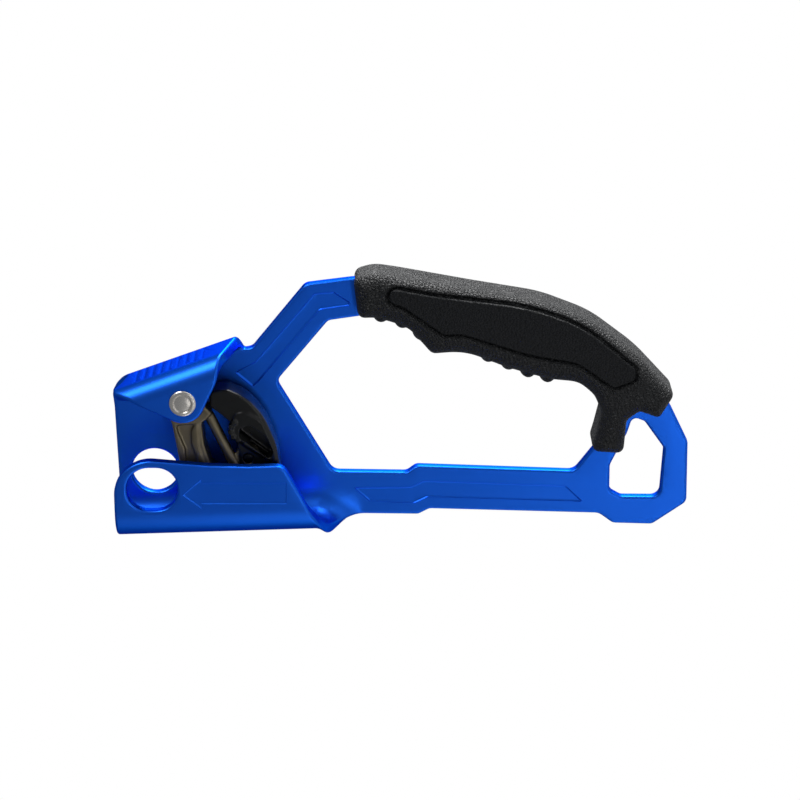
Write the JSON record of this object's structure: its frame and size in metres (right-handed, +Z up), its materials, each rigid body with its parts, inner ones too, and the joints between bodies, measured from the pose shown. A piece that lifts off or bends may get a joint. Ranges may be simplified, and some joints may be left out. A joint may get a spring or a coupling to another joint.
{
  "type": "handled rope ascender",
  "caption": "Handled rope ascender with a bent aluminium frame, a sprung toothed cam with a safety catch, and a rubber hand grip.",
  "frame": {"origin": "centre of the carabiner hole in the head, on the plate's front face", "axes": "+Z up the rope, towards the head; +X from the rope channel towards the hand grip; +Y out of the back of the plate"},
  "size_m": [0.0945, 0.0335, 0.2009],
  "materials": {
    "anodised_frame": "satin blue anodised",
    "grip_rubber": "leather-grained",
    "inlay_rubber": "fine-grained",
    "stainless": "turned",
    "spacer_nylon": "moulded",
    "cam_steel": "bronze-grey cast and coated",
    "bronze": "turned",
    "spring_steel": "drawn wire",
    "catch_nylon": "moulded"
  },
  "bodies": {
    "root": {"frame": "anodised_frame", "grip_front_shell": "grip_rubber", "grip_rear_shell": "grip_rubber", "grip_front_inlay": "inlay_rubber", "grip_rear_inlay": "inlay_rubber", "cam_axle": "stainless", "axle_washer": "stainless", "cam_spacer_front": "spacer_nylon", "cam_spacer_rear": "spacer_nylon", "cam_spring": "spring_steel"},
    "cam": {"cam": "cam_steel", "cam_bush": "bronze", "catch_pin": "stainless", "catch_spring": "spring_steel"},
    "catch": {"catch": "catch_nylon"}
  },
  "joints": [
    {"name": "cam_swing", "type": "hinge", "parent": "root", "child": "cam", "pos_m": [0.0325, -0.009, -0.0121], "axis": [0, -1, 0], "range_deg": [0, 30], "stiffness_Nm_per_rad": 0.04, "springref_deg": -45.84, "deforming": ["cam_spring"]},
    {"name": "catch_pivot", "type": "hinge", "parent": "cam", "child": "catch", "pos_m": [0.0092, -0.009, -0.0335], "axis": [0, 1, 0], "range_deg": [0, 9], "stiffness_Nm_per_rad": 0.02, "springref_deg": -45.84, "deforming": ["catch_spring"]}
  ]
}
